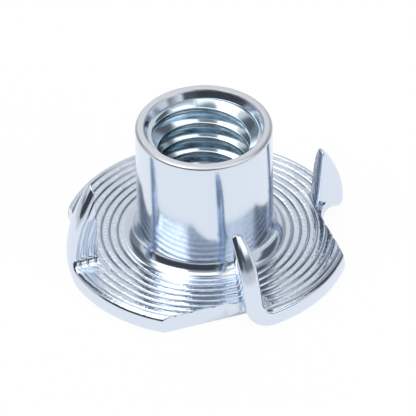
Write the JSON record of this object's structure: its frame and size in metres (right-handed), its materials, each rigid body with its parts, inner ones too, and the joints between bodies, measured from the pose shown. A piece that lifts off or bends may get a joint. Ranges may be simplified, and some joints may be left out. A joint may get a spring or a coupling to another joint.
{
  "type": "tee nut",
  "caption": "Pronged tee nut: a threaded barrel drawn up from a round grooved flange, with prongs sheared and bent up from its rim to bite into wood.",
  "frame": {"origin": "centre of the flange's underside, on the axis of the barrel", "axes": "+Z along the barrel from the flange to its mouth; the prongs stand on +X, +Y, -X and -Y"},
  "size_m": [0.0254, 0.0254, 0.0131],
  "materials": {
    "zinc_plate": "bright zinc plate with a faint blue tint"
  },
  "bodies": {
    "root": {"tee_nut": "zinc_plate"}
  },
  "joints": []
}
